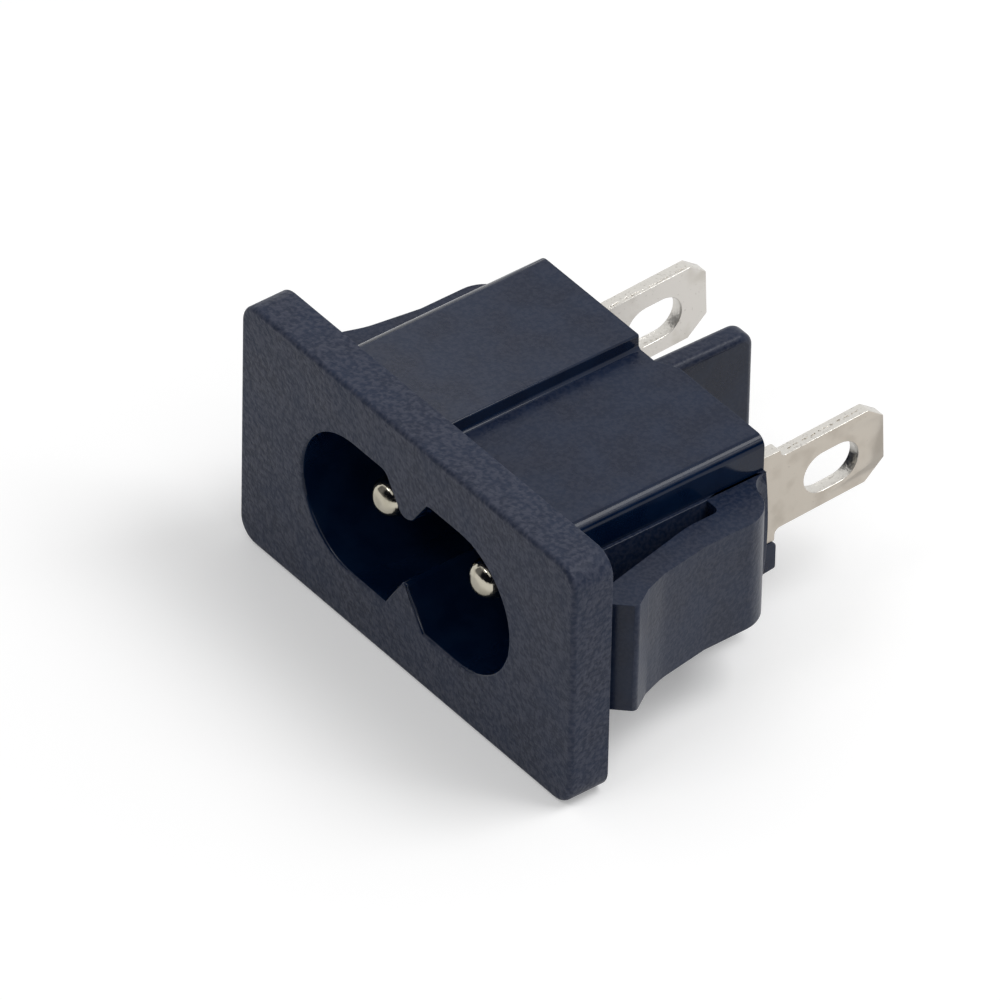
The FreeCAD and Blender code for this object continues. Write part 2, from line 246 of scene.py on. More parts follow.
def add_socket(
    tree: bpy.types.NodeTree, name: str, direction: str, kind: str, value: float | None = None
) -> None:
    """Add a named socket to a node group.

    Args:
        tree: The group.
        name: Name that the socket shows.
        direction: INPUT or OUTPUT.
        kind: Short name of the socket type, such as Float.
        value: Default value, if it has one.
    """
    socket = tree.interface.new_socket(name, in_out=direction, socket_type=f"NodeSocket{kind}")
    if value is not None:
        socket.default_value = value


@dataclass(frozen=True)
class GrainEffect:
    """Fine surface grain with a slow mottle, shared by the plastic and both metals."""

    name: str = "surface_grain"
    usual_cell: float = 0.1 * MM
    fine_detail: float = 2.0
    slow_detail: float = 3.0
    mottle_share: float = 0.09
    mottle_low: float = 0.3
    mottle_high: float = 0.7

    def build(self) -> bpy.types.NodeTree:
        """Build the shader group.

        Returns:
            Group with the outputs Height and Mottle, both from 0 to 1.
        """
        tree = bpy.data.node_groups.new(self.name, "ShaderNodeTree")
        bench = NodeBench(tree)
        add_socket(tree, "Vector", "INPUT", "Vector")
        add_socket(tree, "Cell Size", "INPUT", "Float", self.usual_cell)
        add_socket(tree, "Height", "OUTPUT", "Float")
        add_socket(tree, "Mottle", "OUTPUT", "Float")
        given = bench.place("NodeGroupInput").outputs
        scaled = bench.cells(given["Vector"], given["Cell Size"])
        grains = {"Vector": scaled, "Scale": 1.0, "Detail": self.fine_detail}
        patches = {"Vector": scaled, "Scale": self.mottle_share, "Detail": self.slow_detail}
        fine = bench.place("ShaderNodeTexNoise", grains).outputs[0]
        slow = bench.place("ShaderNodeTexNoise", patches).outputs[0]
        mottle = bench.ramp(slow, self.mottle_low, self.mottle_high)
        bench.place("NodeGroupOutput", {"Height": fine, "Mottle": mottle})
        return tree


@dataclass(frozen=True)
class StainEffect:
    """Scattered stains and small dark specks on plated metal."""

    name: str = "plating_stain"
    usual_patch: float = 1.5 * MM
    usual_speck: float = 0.2 * MM
    detail: float = 2.0
    stain_range: tuple[float, float] = (0.48, 0.68)
    speck_range: tuple[float, float] = (0.66, 0.74)

    def build(self) -> bpy.types.NodeTree:
        """Build the shader group.

        Returns:
            Group with the outputs Stain and Speck, both from 0 to 1.
        """
        tree = bpy.data.node_groups.new(self.name, "ShaderNodeTree")
        bench = NodeBench(tree)
        add_socket(tree, "Vector", "INPUT", "Vector")
        add_socket(tree, "Patch Size", "INPUT", "Float", self.usual_patch)
        add_socket(tree, "Speck Size", "INPUT", "Float", self.usual_speck)
        add_socket(tree, "Stain", "OUTPUT", "Float")
        add_socket(tree, "Speck", "OUTPUT", "Float")
        given = bench.place("NodeGroupInput").outputs
        sources = {}
        spans = {"Stain": ("Patch Size", self.stain_range), "Speck": ("Speck Size", self.speck_range)}
        for output, (size, (low, high)) in spans.items():
            spots = {"Vector": bench.cells(given["Vector"], given[size]), "Scale": 1.0, "Detail": self.detail}
            noise = bench.place("ShaderNodeTexNoise", spots).outputs[0]
            sources[output] = bench.ramp(noise, low, high)
        bench.place("NodeGroupOutput", sources)
        return tree


def group_node(bench: NodeBench, tree: bpy.types.NodeTree, sources: dict) -> bpy.types.Node:
    """Place a shader group in a material.

    Args:
        bench: The material's bench.
        tree: The group.
        sources: Value or socket for each named input.

    Returns:
        The group's node.
    """
    return bench.place("ShaderNodeGroup", sources, node_tree=tree)


def face_mask(bench: NodeBench, attribute: Attribute) -> bpy.types.NodeSocket:
    """Read one of the pieces' face attributes.

    Args:
        bench: The material's bench.
        attribute: Which attribute.

    Returns:
        Socket with its value, from 0 to 1.
    """
    return bench.place("ShaderNodeAttribute", attribute_name=attribute.value).outputs["Fac"]


@dataclass(frozen=True)
class MouldedPlastic:
    """Navy-black moulding compound, polished where the grain attribute is 0 and sandy where it is 1.

    Where it is sandy, the grain's peaks are paler than the compound, partly the grain's own whitening and
    partly painted sparkle of light on the grain. The highest take peak_share of the peak colour, and the
    hollows between them take 1 - peak_share of it.
    """

    name: str = "moulded_plastic"
    dark: tuple[float, float, float] = (0.0012, 0.0062, 0.0235)
    light: tuple[float, float, float] = (0.0030, 0.0112, 0.0350)
    peak: tuple[float, float, float] = (0.0400, 0.0460, 0.0720)
    peak_share: float = 0.80
    peak_low: float = 0.38
    peak_high: float = 0.64
    polished_roughness: float = 0.13
    grain_roughness: float = 0.50
    smooth_patch: float = -0.01
    dull_patch: float = 0.03
    fine_cell: float = 0.20 * MM
    grain_cell: float = 0.28 * MM
    bump_strength: float = 0.8
    bump_distance: float = 0.09 * MM
    depth_power: float = 2.0
    specular_level: float = 0.23

    def build(self, grain: bpy.types.NodeTree) -> bpy.types.Material:
        """Build the material.

        Args:
            grain: The shared grain group.

        Returns:
            The finished material.
        """
        material, bench = open_material(self.name)
        place = bench.place("ShaderNodeTexCoord").outputs["Object"]
        grained = face_mask(bench, Attribute.GRAIN)
        cell = bench.blend(grained, self.fine_cell, self.grain_cell)
        surface = group_node(bench, grain, {"Vector": place, "Cell Size": cell})
        height, mottle = surface.outputs["Height"], surface.outputs["Mottle"]
        depth = bench.math("POWER", grained, self.depth_power)
        relief = {
            "Strength": self.bump_strength,
            "Distance": self.bump_distance,
            "Height": bench.math("MULTIPLY", height, depth),
        }
        # Paler grain peaks: partly the grain's whitening, partly painted sparkle of light on the grain.
        lighter_tone = bench.ramp(height, self.peak_low, self.peak_high, 1.0 - self.peak_share, self.peak_share)
        peaks = bench.math("MULTIPLY", lighter_tone, grained)
        roughness = bench.blend(grained, self.polished_roughness, self.grain_roughness)
        patches = bench.ramp(mottle, 0.0, 1.0, self.smooth_patch, self.dull_patch)
        sources = {
            "Base Color": bench.tint(peaks, bench.tint(mottle, self.dark, self.light), self.peak),
            "Roughness": bench.math("ADD", roughness, patches),
            "Specular IOR Level": self.specular_level,
            "Normal": bench.place("ShaderNodeBump", relief).outputs[0],
        }
        bench.coat(bench.place("ShaderNodeBsdfPrincipled", sources))
        return material


@dataclass(frozen=True)
class NickelPlate:
    """Bright nickel on a turned pin, with faint tool rings and a trace of tarnish."""

    name: str = "nickel_plate"
    bright: tuple[float, float, float] = (0.50, 0.47, 0.39)
    tarnished: tuple[float, float, float] = (0.38, 0.35, 0.27)
    roughness: float = 0.11
    tarnish_share: float = 0.5
    tarnish_roughness: float = 0.1
    patch_size: float = 0.9 * MM
    ring_pitch: float = 0.11 * MM
    ring_share: float = 0.3
    cell: float = 0.07 * MM
    bump_strength: float = 0.5
    bump_distance: float = 0.004 * MM

    def build(self, grain: bpy.types.NodeTree, stain: bpy.types.NodeTree) -> bpy.types.Material:
        """Build the material.

        Args:
            grain: The shared grain group.
            stain: The shared stain group.

        Returns:
            The finished material.
        """
        material, bench = open_material(self.name)
        place = bench.place("ShaderNodeTexCoord").outputs["Object"]
        surface = group_node(bench, grain, {"Vector": place, "Cell Size": self.cell})
        spots = {"Vector": place, "Patch Size": self.patch_size}
        tarnish = group_node(bench, stain, spots).outputs["Stain"]
        along = bench.place("ShaderNodeSeparateXYZ", {0: place}).outputs["Y"]
        wave = bench.math("SINE", bench.math("MULTIPLY", along, math.tau / self.ring_pitch))
        rings = bench.math("MULTIPLY", wave, self.ring_share)
        relief = {
            "Strength": self.bump_strength,
            "Distance": self.bump_distance,
            "Height": bench.math("ADD", rings, surface.outputs["Height"]),
        }
        dirt = bench.math("MULTIPLY", tarnish, self.tarnish_share)
        dullest = self.roughness + self.tarnish_roughness
        sources = {
            "Base Color": bench.tint(dirt, self.bright, self.tarnished),
            "Metallic": 1.0,
            "Roughness": bench.ramp(tarnish, 0.0, 1.0, self.roughness, dullest),
            "Normal": bench.place("ShaderNodeBump", relief).outputs[0],
        }
        bench.coat(bench.place("ShaderNodeBsdfPrincipled", sources))
        return material


@dataclass(frozen=True)
class TinnedStrip:
    """Dull tin on rolled strip, with bright torn metal where the punch cut it."""

    name: str = "tinned_strip"
    face: tuple[float, float, float] = (0.62, 0.595, 0.56)
    stained: tuple[float, float, float] = (0.50, 0.47, 0.42)
    cut: tuple[float, float, float] = (0.64, 0.62, 0.58)
    pit: tuple[float, float, float] = (0.30, 0.27, 0.24)
    face_roughness: float = 0.36
    cut_roughness: float = 0.32
    stain_roughness: float = 0.12
    face_cell: float = 0.12 * MM
    cut_cell: float = 0.22 * MM
    patch_size: float = 1.6 * MM
    speck_size: float = 0.22 * MM
    stain_share: float = 0.55
    speck_share: float = 0.3
    pit_share: float = 0.5
    pit_low: float = 0.28
    pit_high: float = 0.42
    bump_strength: float = 0.7
    bump_distance: float = 0.05 * MM
    face_relief: float = 0.05

    def build(self, grain: bpy.types.NodeTree, stain: bpy.types.NodeTree) -> bpy.types.Material:
        """Build the material.

        Args:
            grain: The shared grain group.
            stain: The shared stain group.

        Returns:
            The finished material.
        """
        material, bench = open_material(self.name)
        place = bench.place("ShaderNodeTexCoord").outputs["Object"]
        cut = face_mask(bench, Attribute.CUT_EDGE)
        cell = bench.blend(cut, self.face_cell, self.cut_cell)
        height = group_node(bench, grain, {"Vector": place, "Cell Size": cell}).outputs["Height"]
        spots = {"Vector": place, "Patch Size": self.patch_size, "Speck Size": self.speck_size}
        marks = group_node(bench, stain, spots).outputs
        dirt = bench.math("MULTIPLY", marks["Stain"], self.stain_share)
        plate = bench.tint(dirt, self.face, self.stained)
        pits = bench.ramp(height, self.pit_low, self.pit_high, self.pit_share, 0.0)
        torn = bench.tint(pits, self.cut, self.pit)
        specks = bench.math("MULTIPLY", marks["Speck"], self.speck_share)
        relief = {
            "Strength": self.bump_strength,
            "Distance": self.bump_distance,
            "Height": bench.math("MULTIPLY", height, bench.blend(cut, self.face_relief, 1.0)),
        }
        roughness = bench.blend(cut, self.face_roughness, self.cut_roughness)
        sources = {
            "Base Color": bench.tint(specks, bench.tint(cut, plate, torn), self.pit),
            "Metallic": 1.0,
            "Roughness": bench.math("ADD", roughness, bench.math("MULTIPLY", dirt, self.stain_roughness)),
            "Normal": bench.place("ShaderNodeBump", relief).outputs[0],
        }
        bench.coat(bench.place("ShaderNodeBsdfPrincipled", sources))
        return material


# A darker, warmer copy of the tin, given to the right lug.
DARKER_STRIP = TinnedStrip(name="tinned_strip_darker", face=(0.51, 0.465, 0.405), stained=(0.42, 0.375, 0.32))


@dataclass(frozen=True)
class PaleFloor:
    """White sheet: open areas run to white, and the object's shadow stays."""

    name: str = "pale_floor"
    colour: tuple[float, float, float] = (0.86, 0.86, 0.86)
    lift: float = 0.24

    def build(self) -> bpy.types.Material:
        """Build the material.

        Returns:
            The finished material.
        """
        material, bench = open_material(self.name)
        matt = bench.place("ShaderNodeBsdfDiffuse", {"Color": (*self.colour, 1.0)})
        lifted = bench.math("MULTIPLY", bench.seen(), self.lift)
        glow = bench.place("ShaderNodeEmission", {"Strength": lifted})
        bench.coat(bench.place("ShaderNodeAddShader", {0: matt.outputs[0], 1: glow.outputs[0]}))
        return material


def new_object(name: str, mesh: bpy.types.Mesh) -> bpy.types.Object:
    """Put a mesh in the scene as an object at the origin.

    Args:
        name: Name of the object.
        mesh: Its mesh.

    Returns:
        The object.
    """
    piece = bpy.data.objects.new(name, mesh)
    bpy.context.scene.collection.objects.link(piece)
    return piece


def plain_mesh(piece: bpy.types.Object) -> None:
    """Turn what a piece's modifiers make into its own mesh and remove them.

    Args:
        piece: The piece.
    """
    depsgraph = bpy.context.evaluated_depsgraph_get()
    mesh = bpy.data.meshes.new_from_object(piece.evaluated_get(depsgraph))
    piece.modifiers.clear()
    piece.data = mesh


def mark_faces(
    mesh: bpy.types.Mesh, attribute: Attribute, rule: Callable[[bpy.types.MeshPolygon], float]
) -> None:
    """Write a face attribute.

    Args:
        mesh: The mesh.
        attribute: Which attribute to write.
        rule: Takes a face and gives its value, from 0 to 1.
    """
    layer = mesh.attributes.new(attribute.value, "FLOAT", "FACE")
    for polygon, item in zip(mesh.polygons, layer.data):
        item.value = rule(polygon)


def shade(mesh: bpy.types.Mesh, sharp_deg: float) -> None:
    """Shade smoothly, apart from edges that turn more than the given angle."""
    mesh.shade_smooth()
    mesh.set_sharp_from_angle(angle=math.radians(sharp_deg))


def place_piece(piece: bpy.types.Object, node: str, material: bpy.types.Material) -> None:
    """Give a piece its material and its place in the part.

    Args:
        piece: The finished piece.
        node: The solid that it stands for.
        material: Its finish.
    """
    piece.data.materials.clear()
    piece.data.materials.append(material)
    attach(piece, "root")
    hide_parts(node)
    LOG.info("%s: %d faces stand for %s", piece.name, len(piece.data.polygons), node)


@dataclass
class SoftEdges:
    """Merged copy of a solid whose sharp outer edges get a small round."""

    width: float
    sharp_deg: float = 32.0
    merge_distance: float = 0.0005 * MM
    flat_deg: float = 0.4
    segments: int = 2
    round_profile: float = 0.5

    def copy(self, node: str, name: str) -> bpy.types.Object:
        """Make the copy.

        Args:
            node: Solid to copy.
            name: Name of the new piece.

        Returns:
            The new piece, shaded smoothly across its rounded edges.
        """
        work = bmesh.new()
        work.from_mesh(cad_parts[node].data)
        bmesh.ops.remove_doubles(work, verts=work.verts, dist=self.merge_distance)
        bmesh.ops.dissolve_limit(
            work, angle_limit=math.radians(self.flat_deg), verts=work.verts, edges=work.edges
        )
        limit = math.radians(self.sharp_deg)
        sharp = [
            edge
            for edge in work.edges
            if len(edge.link_faces) == 2 and edge.is_convex and edge.calc_face_angle() > limit
        ]
        bmesh.ops.bevel(
            work,
            geom=sharp,
            offset=self.width,
            offset_type="OFFSET",
            segments=self.segments,
            profile=self.round_profile,
            affect="EDGES",
            clamp_overlap=False,
        )
        mesh = bpy.data.meshes.new(name)
        work.to_mesh(mesh)
        work.free()
        shade(mesh, self.sharp_deg)
        piece = new_object(name, mesh)
        weighting = piece.modifiers.new("weighting", "WEIGHTED_NORMAL")
        weighting.keep_sharp = True
        plain_mesh(piece)
        return piece


@dataclass
class Housing:
    """The one-piece moulding: sandy flange, arms and barrier matte to satin, fine tops, polished walls."""

    edge_round: float = 0.05 * MM
    recess_half_width: float = 9.12 * MM
    recess_half_height: float = 4.52 * MM
    arm_side: float = 9.44 * MM
    barrier_start: float = 14.55 * MM
    face_slack: float = 0.03 * MM
    flat_normal: float = 0.98
    front_normal: float = 0.6

    def texture(self, polygon: bpy.types.MeshPolygon, front: float) -> Texture:
        """Tell which surface of the mould made a face.

        Args:
            polygon: A face of the housing.
            front: Place of the flange's front face.

        Returns:
            The face's texture.
        """
        centre, normal = polygon.center, polygon.normal
        if centre.y < self.face_slack:
            on_front = centre.y < front + self.face_slack
            in_recess = abs(centre.x) < self.recess_half_width and abs(centre.z) < self.recess_half_height
            outside = (on_front or not in_recess) and normal.y < self.flat_normal
            return Texture.SPARK if outside else Texture.POLISHED
        if abs(centre.x) > self.arm_side:
            return Texture.SATIN if normal.y < -self.front_normal else Texture.MATTE
        if centre.y > self.barrier_start:
            return Texture.SATIN if abs(normal.x) > self.flat_normal else Texture.MATTE
        on_top = abs(normal.z) > self.flat_normal and abs(centre.z) > self.recess_half_height
        return Texture.FINE if on_top else Texture.POLISHED

    def build(self, material: bpy.types.Material) -> None:
        """Build and place the housing.

        Args:
            material: The moulded plastic.
        """
        piece = SoftEdges(width=self.edge_round).copy("housing", "housing_moulding")
        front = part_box("housing")[0].y
        mark_faces(piece.data, Attribute.GRAIN, lambda polygon: self.texture(polygon, front).value)
        place_piece(piece, "housing", material)


@dataclass
class TurningLathe:
    """Geometry Nodes tree that turns a drawn profile into a closed piece."""

    name: str = "turn_profile"
    steps: int = 96
    axis_radius: float = 0.00002 * MM
    seal_distance: float = 0.0002 * MM

    def build(self) -> bpy.types.NodeTree:
        """Build the tree, whose profile has its radius along X and its length along Y.

        Returns:
            Tree with the inputs Steps, Axis Radius, Seal Distance, Axis Place and Finish.
        """
        tree = bpy.data.node_groups.new(self.name, "GeometryNodeTree")
        bench = NodeBench(tree)
        add_socket(tree, "Geometry", "INPUT", "Geometry")
        add_socket(tree, "Steps", "INPUT", "Int", self.steps)
        add_socket(tree, "Axis Radius", "INPUT", "Float", self.axis_radius)
        add_socket(tree, "Seal Distance", "INPUT", "Float", self.seal_distance)
        add_socket(tree, "Axis Place", "INPUT", "Vector")
        add_socket(tree, "Finish", "INPUT", "Material")
        add_socket(tree, "Geometry", "OUTPUT", "Geometry")
        given = bench.place("NodeGroupInput").outputs
        profile = bench.place("GeometryNodeMeshToCurve", {"Mesh": given["Geometry"]})
        circle = bench.place(
            "GeometryNodeCurvePrimitiveCircle", {"Resolution": given["Steps"], "Radius": given["Axis Radius"]}
        )
        upright = bench.place("GeometryNodeSetCurveNormal", {"Curve": circle.outputs["Curve"]}, mode="Z_UP")
        swept = bench.place(
            "GeometryNodeCurveToMesh", {"Curve": upright.outputs[0], "Profile Curve": profile.outputs[0]}
        )
        sealed = bench.place(
            "GeometryNodeMergeByDistance", {"Geometry": swept.outputs[0], "Distance": given["Seal Distance"]}
        )
        laid = bench.place(
            "GeometryNodeTransform",
            {
                "Geometry": sealed.outputs[0],
                "Translation": given["Axis Place"],
                "Rotation": (math.pi / 2, 0.0, 0.0),
            },
        )
        bench.dress(laid.outputs[0], given["Finish"])
        return tree


def set_tree_input(modifier: bpy.types.Modifier, name: str, value: object) -> None:
    """Set a Geometry Nodes input by the identifier of its socket.

    Args:
        modifier: The Geometry Nodes modifier.
        name: Name that the socket shows.
        value: Value to give it.
    """
    for item in modifier.node_group.interface.items_tree:
        if item.item_type == "SOCKET" and item.in_out == "INPUT" and item.name == name:
            modifier[item.identifier] = value


@dataclass
class ContactPin:
    """Turned pin: domed nose, shank, collar on the recess floor and riveted tail."""

    pole: Pole
    radius: float = 1.18 * MM
    nose_radius: float = 0.35 * MM
    dome_height: float = 0.9 * MM
    collar_thickness: float = 0.5 * MM
    wall_thickness: float = 2.95 * MM
    tail_radius: float = 0.85 * MM
    strip_thickness: float = 0.8 * MM
    rivet_radius: float = 1.45 * MM
    rivet_height: float = 0.6 * MM
    edge_break: float = 0.04 * MM
    arc_steps: int = 20
    sharp_deg: float = 30.0

    @property
    def node(self) -> str:
        """Name of the solid."""
        return f"contact_pin_{self.pole.value}"

    def dome(self, tip: float) -> list[tuple[float, float]]:
        """Points of the domed nose, from its small flat to the shank.

        Args:
            tip: Place of the nose along the pin.

        Returns:
            Radius and place of each point.
        """
        rise = self.radius - self.nose_radius
        bow = (rise**2 + self.dome_height**2) / (2 * rise)
        sweep = math.asin(self.dome_height / bow)
        points = []
        for step in range(self.arc_steps + 1):
            angle = sweep * (1 - step / self.arc_steps)
            reach = self.radius - bow + bow * math.cos(angle)
            points.append((reach, tip + self.dome_height - bow * math.sin(angle)))
        return points

    def rivet(self, foot: float) -> list[tuple[float, float]]:
        """Points of the riveted cap, from its rim to its crown.

        Args:
            foot: Place of the lug face that the cap stands on.

        Returns:
            Radius and place of each point.
        """
        bow = (self.rivet_radius**2 + self.rivet_height**2) / (2 * self.rivet_height)
        sweep = math.asin(self.rivet_radius / bow)
        points = []
        for step in range(self.arc_steps + 1):
            angle = sweep * (1 - step / self.arc_steps)
            points.append((bow * math.sin(angle), foot + self.rivet_height - bow + bow * math.cos(angle)))
        return points

    def profile(self, tip: float, collar_radius: float, crown: float) -> list[tuple[float, float]]:
        """The pin's outline from the axis at the nose to the axis at the rivet.

        Args:
            tip: Place of the nose along the pin.
            collar_radius: Radius of the collar.
            crown: Place of the rivet's crown.

        Returns:
            Radius and place of each point.
        """
        foot = crown - self.rivet_height
        wall_back = foot - self.strip_thickness
        floor = wall_back - self.wall_thickness
        collar = floor - self.collar_thickness
        shank = [
            (self.radius, collar),
            (collar_radius - self.edge_break, collar),
            (collar_radius, collar + self.edge_break),
            (collar_radius, floor),
            (self.radius, floor),
            (self.radius, wall_back),
            (self.tail_radius, wall_back),
            (self.tail_radius, foot),
        ]
        return [(0.0, tip), *self.dome(tip), *shank, *self.rivet(foot)]

    def build(self, lathe: bpy.types.NodeTree, material: bpy.types.Material) -> None:
        """Turn and place the pin.

        Args:
            lathe: The turning tree.
            material: The nickel finish.
        """
        low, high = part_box(self.node)
        points = self.profile(low.y, (high.x - low.x) / 2, high.y)
        mesh = bpy.data.meshes.new(self.node)
        edges = [(index, index + 1) for index in range(len(points) - 1)]
        mesh.from_pydata([(radius, along, 0.0) for radius, along in points], edges, [])
        piece = new_object(f"turned_pin_{self.pole.value}", mesh)
        turning = piece.modifiers.new("turning", "NODES")
        turning.node_group = lathe
        middle = (low + high) / 2
        set_tree_input(turning, "Axis Place", (middle.x, 0.0, middle.z))
        set_tree_input(turning, "Finish", material)
        plain_mesh(piece)
        self.face_outwards(piece.data)
        shade(piece.data, self.sharp_deg)
        place_piece(piece, self.node, material)

    def face_outwards(self, mesh: bpy.types.Mesh) -> None:
        """Turn every face of the closed pin outwards.

        Args:
            mesh: The pin's mesh.
        """
        work = bmesh.new()
        work.from_mesh(mesh)
        bmesh.ops.recalc_face_normals(work, faces=work.faces)
        work.to_mesh(mesh)
        work.free()


@dataclass
class BurrTree:
    """Geometry Nodes tree that raises an uneven burr along a path."""

    name: str = "punch_burr"
    spacing: float = 0.08 * MM
    wander: float = 0.05 * MM
    radius: float = 0.05 * MM
    seed: int = 1
    thinnest: float = 0.35
    thickest: float = 1.0
    sides: int = 8

    def build(self) -> bpy.types.NodeTree:
        """Build the tree.

        Returns:
            Tree with the inputs Spacing, Wander, Radius, Seed and Finish.
        """
        tree = bpy.data.node_groups.new(self.name, "GeometryNodeTree")
        bench = NodeBench(tree)
        add_socket(tree, "Geometry", "INPUT", "Geometry")
        add_socket(tree, "Spacing", "INPUT", "Float", self.spacing)
        add_socket(tree, "Wander", "INPUT", "Float", self.wander)
        add_socket(tree, "Radius", "INPUT", "Float", self.radius)
        add_socket(tree, "Seed", "INPUT", "Int", self.seed)
        add_socket(tree, "Finish", "INPUT", "Material")
        add_socket(tree, "Geometry", "OUTPUT", "Geometry")
        given = bench.place("NodeGroupInput").outputs
        path = bench.place("GeometryNodeMeshToCurve", {"Mesh": given["Geometry"]})
        even = bench.place(
            "GeometryNodeResampleCurve", {"Curve": path.outputs[0], "Length": given["Spacing"]}, mode="LENGTH"
        )
        reach = bench.place("ShaderNodeCombineXYZ", {0: given["Wander"], 1: 0.0, 2: given["Wander"]})
        back = bench.place("ShaderNodeVectorMath", {0: reach.outputs[0], "Scale": -1.0}, operation="SCALE")
        stray = bench.place(
            "FunctionNodeRandomValue",
            {0: back.outputs[0], 1: reach.outputs[0], "Seed": given["Seed"]},
            data_type="FLOAT_VECTOR",
        )
        strayed = bench.place(
            "GeometryNodeSetPosition", {"Geometry": even.outputs[0], "Offset": stray.outputs["Value"]}
        )
        swell = bench.place(
            "FunctionNodeRandomValue",
            {2: self.thinnest, 3: self.thickest, "Seed": given["Seed"]},
            data_type="FLOAT",
        )
        section = bench.place(
            "GeometryNodeCurvePrimitiveCircle", {"Resolution": self.sides, "Radius": given["Radius"]}
        )
        swept = bench.place(
            "GeometryNodeCurveToMesh",
            {
                "Curve": strayed.outputs[0],
                "Profile Curve": section.outputs["Curve"],
                "Scale": swell.outputs[1],
                "Fill Caps": True,
            },
        )
        bench.dress(swept.outputs[0], given["Finish"])
        return tree


@dataclass
class SolderLug:
    """Stamped lug: strip with rounded edges and the punch's burr along its top."""

    pole: Pole
    burr_across: float
    seed: int
    edge_round: float = 0.05 * MM
    burr_radius: float = 0.035 * MM
    blade_start: float = 17.2 * MM
    end_inset: float = 0.15 * MM
    flat_normal: float = 0.5
    upward_normal: float = 0.9
    smooth_deg: float = 40.0

    @property
    def node(self) -> str:
        """Name of the solid."""
        return f"solder_lug_{self.pole.value}"

    def is_cut(self, polygon: bpy.types.MeshPolygon) -> bool:
        """Tell whether a face of the blade was cut by the punch.

        Args:
            polygon: A face of the lug.

        Returns:
            True unless the face lies on the flat of the strip.
        """
        return abs(polygon.normal.x) < self.flat_normal

    def top_edge(self, mesh: bpy.types.Mesh) -> list[Vector]:
        """Path of the burr along the top of the blade.

        Args:
            mesh: The lug's mesh.

        Returns:
            First and last point of the path.
        """
        upward = [face for face in mesh.polygons if face.normal.z > self.upward_normal]
        on_blade = [face for face in upward if face.center.y > self.blade_start]
        top = max(on_blade, key=lambda face: face.area)
        corners = [mesh.vertices[index].co for index in top.vertices]
        inner = min(corner.x for corner in corners)
        outer = max(corner.x for corner in corners)
        across = inner + (outer - inner) * self.burr_across
        near = min(corners, key=lambda corner: corner.y)
        far = max(corners, key=lambda corner: corner.y)
        along = (far - near).normalized() * self.end_inset
        return [Vector((across, point.y, point.z)) for point in (near + along, far - along)]

    def burr(
        self, tree: bpy.types.NodeTree, mesh: bpy.types.Mesh, material: bpy.types.Material
    ) -> bpy.types.Mesh:
        """Make the burr.

        Args:
            tree: The burr tree.
            mesh: The lug's mesh.
            material: The lug's finish.

        Returns:
            The burr's plain mesh.
        """
        path = bpy.data.meshes.new(f"burr_{self.pole.value}")
        path.from_pydata(self.top_edge(mesh), [(0, 1)], [])
        piece = new_object(path.name, path)
        growth = piece.modifiers.new("burr", "NODES")
        growth.node_group = tree
        set_tree_input(growth, "Radius", self.burr_radius)
        set_tree_input(growth, "Seed", self.seed)
        set_tree_input(growth, "Finish", material)
        plain_mesh(piece)
        made = piece.data
        bpy.data.objects.remove(piece)
        return made

    def build(self, tree: bpy.types.NodeTree, material: bpy.types.Material) -> None:
        """Build and place the lug with its burr.

        Args:
            tree: The burr tree.
            material: The tinned finish.
        """
        piece = SoftEdges(width=self.edge_round).copy(self.node, f"stamped_lug_{self.pole.value}")
        grown = self.burr(tree, piece.data, material)
        work = bmesh.new()
        work.from_mesh(piece.data)
        work.from_mesh(grown)
        work.to_mesh(piece.data)
        work.free()
        shade(piece.data, self.smooth_deg)
        mark_faces(piece.data, Attribute.CUT_EDGE, lambda polygon: float(self.is_cut(polygon)))
        place_piece(piece, self.node, material)


def viewing_direction(azimuth_deg: float, elevation_deg: float) -> Vector:
    """Direction from the object to a viewer.

    Args:
        azimuth_deg: 0 in front of the flange, growing towards the right side.
        elevation_deg: Angle above the horizon.

    Returns:
        Unit vector.
    """
    azimuth, elevation = math.radians(azimuth_deg), math.radians(elevation_deg)
    level = math.cos(elevation)
    return Vector((math.sin(azimuth) * level, -math.cos(azimuth) * level, math.sin(elevation)))


@dataclass
class Softbox:
    """Rectangular studio light aimed at the object."""

    name: str
    azimuth_deg: float
    elevation_deg: float
    distance: float
    width: float
    height: float
    power: float

    def build(self, target: Vector) -> None:
        """Hang the light.

        Args:
            target: Point that it faces.
        """
        light = bpy.data.lights.new(self.name, "AREA")
        light.shape = "RECTANGLE"
        light.size = self.width
        light.size_y = self.height
        light.energy = self.power
        lamp = bpy.data.objects.new(self.name, light)
        bpy.context.scene.collection.objects.link(lamp)
        towards = viewing_direction(self.azimuth_deg, self.elevation_deg)
        lamp.location = target + towards * self.distance
        lamp.rotation_euler = towards.to_track_quat("Z", "Y").to_euler()
        lamp.visible_camera = False


@dataclass(frozen=True)
class DarkReflectionSheet:
    """Painted dark surroundings: a near-black sheet standing in for the unlit side of the studio, paling to
    painted grey at the left.
    """

    name: str = "painted_dark_surroundings"
    deep: tuple[float, float, float] = (0.006, 0.007, 0.012)
    lighter_tone: tuple[float, float, float] = (0.014, 0.015, 0.022)
    grey: tuple[float, float, float] = (0.36, 0.36, 0.37)
    grey_end: float = -0.34
    black_start: float = -0.10
    blotch_scale: float = 6.0

    def build(self) -> bpy.types.Material:
        """Build the material.

        Returns:
            The finished material.
        """
        material, bench = open_material(self.name)
        place = bench.place("ShaderNodeTexCoord").outputs["Object"]
        noise = bench.place("ShaderNodeTexNoise", {"Vector": place, "Scale": self.blotch_scale}).outputs[0]
        across = bench.place("ShaderNodeSeparateXYZ", {0: place}).outputs["X"]
        black = bench.tint(noise, self.deep, self.lighter_tone)
        colour = bench.tint(bench.ramp(across, self.grey_end, self.black_start), self.grey, black)
        bench.coat(bench.place("ShaderNodeBsdfDiffuse", {"Color": colour}))
        return material


